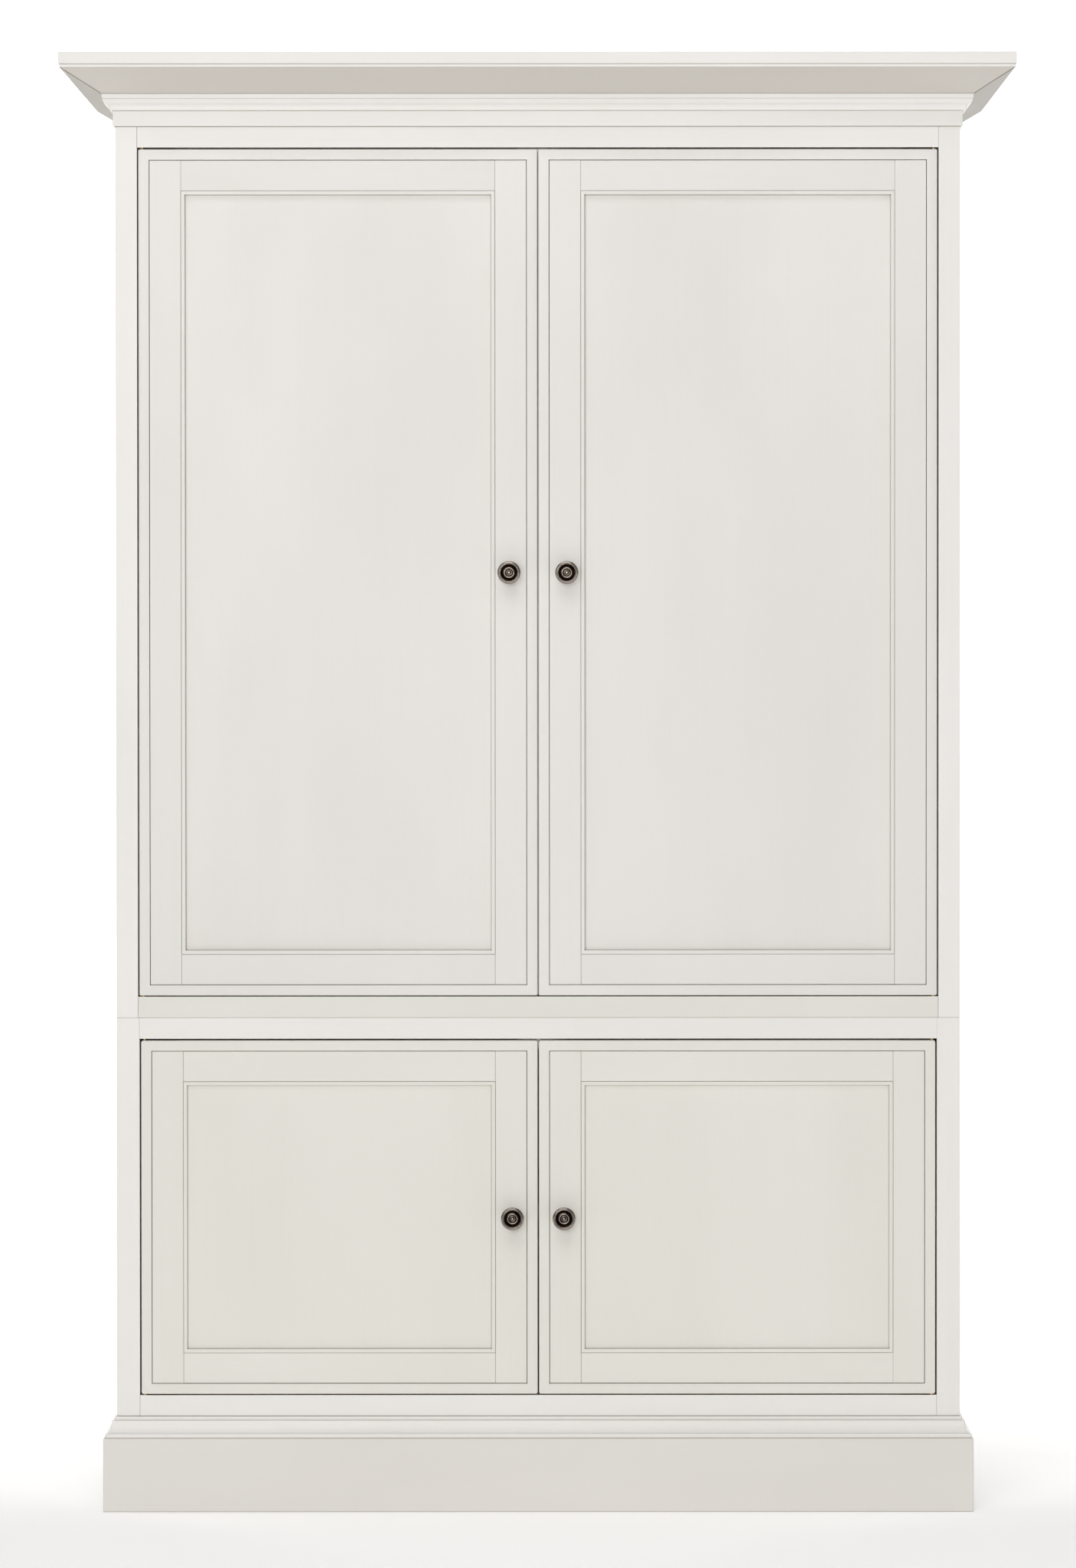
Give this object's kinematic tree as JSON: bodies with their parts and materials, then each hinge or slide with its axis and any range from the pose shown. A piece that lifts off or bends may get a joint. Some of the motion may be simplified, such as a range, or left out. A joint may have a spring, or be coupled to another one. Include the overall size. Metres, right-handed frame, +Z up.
{
  "type": "armoire",
  "caption": "Tall two-part armoire with inset frame-and-panel doors on concealed pivots, round ringed knobs, a moulded plinth and a sloped crown.",
  "frame": {"origin": "on the floor, under the middle of the bounding box", "axes": "+Z up, the doors face -Y, +X is to the right as seen from the front"},
  "size_m": [1.398, 0.657, 2.141],
  "materials": {
    "white_paint": "satin off-white paint on wood",
    "inner_paint": "matt off-white paint on wood",
    "knob_pewter": "dark antique pewter",
    "hinge_brass": "satin",
    "fixing_steel": "satin"
  },
  "bodies": {
    "cabinet": {"plinth_boards": "white_paint", "plinth_cap": "white_paint", "lower_left_side": "white_paint", "lower_right_side": "white_paint", "lower_top_panel": "inner_paint", "lower_bottom_panel": "inner_paint", "lower_back_panel": "inner_paint", "lower_face_stiles": "white_paint", "lower_face_rails": "white_paint", "lower_shelf": "inner_paint", "upper_left_side": "white_paint", "upper_right_side": "white_paint", "upper_top_panel": "inner_paint", "upper_bottom_panel": "inner_paint", "upper_back_panel": "inner_paint", "upper_face_stiles": "white_paint", "upper_face_rails": "white_paint", "upper_shelf": "inner_paint", "hanging_rod": "fixing_steel", "rod_sockets": "fixing_steel", "shelf_pins": "fixing_steel", "case_bolts": "fixing_steel", "hinge_plates": "hinge_brass", "magnetic_catches": "fixing_steel", "frieze_boards": "white_paint", "bead_moulding": "white_paint", "crown_moulding": "white_paint", "cornice_top": "white_paint"},
    "upper_left_door": {"upper_left_door_stiles": "white_paint", "upper_left_door_rails": "white_paint", "upper_left_door_panel": "white_paint", "upper_left_door_edge_bead": "white_paint", "upper_left_door_panel_bead": "white_paint", "upper_left_door_knob": "knob_pewter", "upper_left_door_hinge_leaves": "hinge_brass", "upper_left_door_strike_plate": "fixing_steel"},
    "upper_right_door": {"upper_right_door_stiles": "white_paint", "upper_right_door_rails": "white_paint", "upper_right_door_panel": "white_paint", "upper_right_door_edge_bead": "white_paint", "upper_right_door_panel_bead": "white_paint", "upper_right_door_knob": "knob_pewter", "upper_right_door_hinge_leaves": "hinge_brass", "upper_right_door_strike_plate": "fixing_steel"},
    "lower_left_door": {"lower_left_door_stiles": "white_paint", "lower_left_door_rails": "white_paint", "lower_left_door_panel": "white_paint", "lower_left_door_edge_bead": "white_paint", "lower_left_door_panel_bead": "white_paint", "lower_left_door_knob": "knob_pewter", "lower_left_door_hinge_leaves": "hinge_brass", "lower_left_door_strike_plate": "fixing_steel"},
    "lower_right_door": {"lower_right_door_stiles": "white_paint", "lower_right_door_rails": "white_paint", "lower_right_door_panel": "white_paint", "lower_right_door_edge_bead": "white_paint", "lower_right_door_panel_bead": "white_paint", "lower_right_door_knob": "knob_pewter", "lower_right_door_hinge_leaves": "hinge_brass", "lower_right_door_strike_plate": "fixing_steel"}
  },
  "joints": [
    {"name": "upper_left_door_hinge", "type": "hinge", "parent": "cabinet", "child": "upper_left_door", "pos_m": [-0.5825, -0.2465, 1.3835], "axis": [0, 0, 1], "range_deg": [-105, 0]},
    {"name": "upper_right_door_hinge", "type": "hinge", "parent": "cabinet", "child": "upper_right_door", "pos_m": [0.5825, -0.2465, 1.3835], "axis": [0, 0, 1], "range_deg": [0, 105]},
    {"name": "lower_left_door_hinge", "type": "hinge", "parent": "cabinet", "child": "lower_left_door", "pos_m": [-0.5805, -0.2465, 0.43325], "axis": [0, 0, 1], "range_deg": [-105, 0]},
    {"name": "lower_right_door_hinge", "type": "hinge", "parent": "cabinet", "child": "lower_right_door", "pos_m": [0.5805, -0.2465, 0.43325], "axis": [0, 0, 1], "range_deg": [0, 105]}
  ]
}
